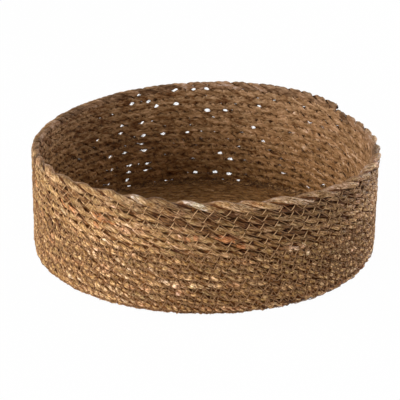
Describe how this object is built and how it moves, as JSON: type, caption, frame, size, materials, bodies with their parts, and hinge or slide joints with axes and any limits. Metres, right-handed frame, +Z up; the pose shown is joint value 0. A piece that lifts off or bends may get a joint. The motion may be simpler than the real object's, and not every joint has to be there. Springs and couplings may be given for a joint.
{
  "type": "round basket",
  "caption": "Low round open basket of twisted seagrass cord, coiled from the centre of a flat base up an upright wall and sewn row to row.",
  "frame": {"origin": "centre of the base, on the surface that the basket stands on", "axes": "+Z up through the open mouth, -Y towards the viewer of the picture, +X to their right"},
  "size_m": [0.2993, 0.2992, 0.1027],
  "materials": {
    "seagrass_base": "matte",
    "seagrass_heel": "matte",
    "seagrass_wall": "matte",
    "seagrass_rim": "matte",
    "sewing_thread": "satin"
  },
  "bodies": {
    "root": {"base_cord": "seagrass_base", "heel_cord": "seagrass_heel", "wall_cord": "seagrass_wall", "rim_cord": "seagrass_rim", "base_needle_thread": "sewing_thread", "heel_needle_thread": "sewing_thread", "wall_needle_thread": "sewing_thread", "rim_needle_thread": "sewing_thread", "base_bobbin_thread": "sewing_thread", "heel_bobbin_thread": "sewing_thread", "wall_bobbin_thread": "sewing_thread", "rim_bobbin_thread": "sewing_thread"}
  },
  "joints": []
}
